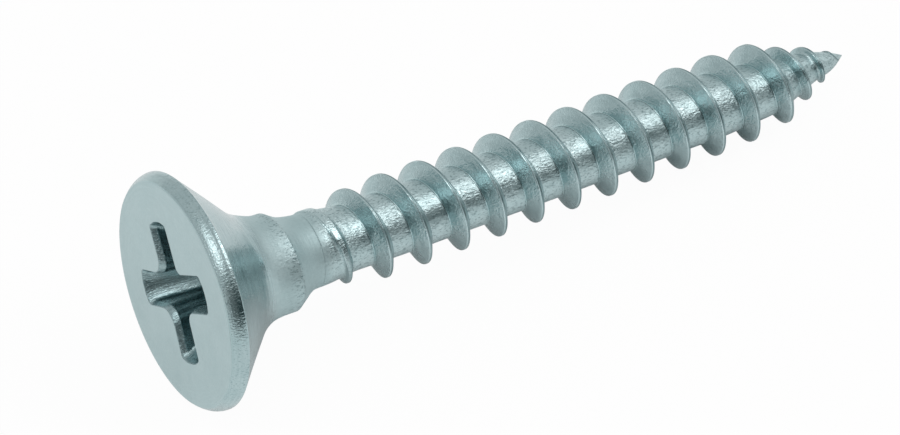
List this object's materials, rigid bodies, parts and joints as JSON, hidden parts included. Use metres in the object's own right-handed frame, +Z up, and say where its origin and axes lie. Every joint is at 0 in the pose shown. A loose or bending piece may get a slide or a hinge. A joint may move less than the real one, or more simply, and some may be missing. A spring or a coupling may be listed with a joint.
{
  "type": "self-tapping screw",
  "caption": "Countersunk self-tapping screw in zinc-plated steel, with a cross recess, a short neck, a coarse right-hand thread and a gimlet point.",
  "frame": {"origin": "middle of the lying screw's box, on the table", "axes": "+Z up, +X towards the tip; the axis slopes down to the tip by 6.3 degrees, because the screw rests on its head's rim and its last full crest"},
  "size_m": [0.0278, 0.0084, 0.0085],
  "materials": {
    "zinc_plate": "bright blue-white zinc plate"
  },
  "bodies": {
    "root": {"screw": "zinc_plate"}
  },
  "joints": []
}
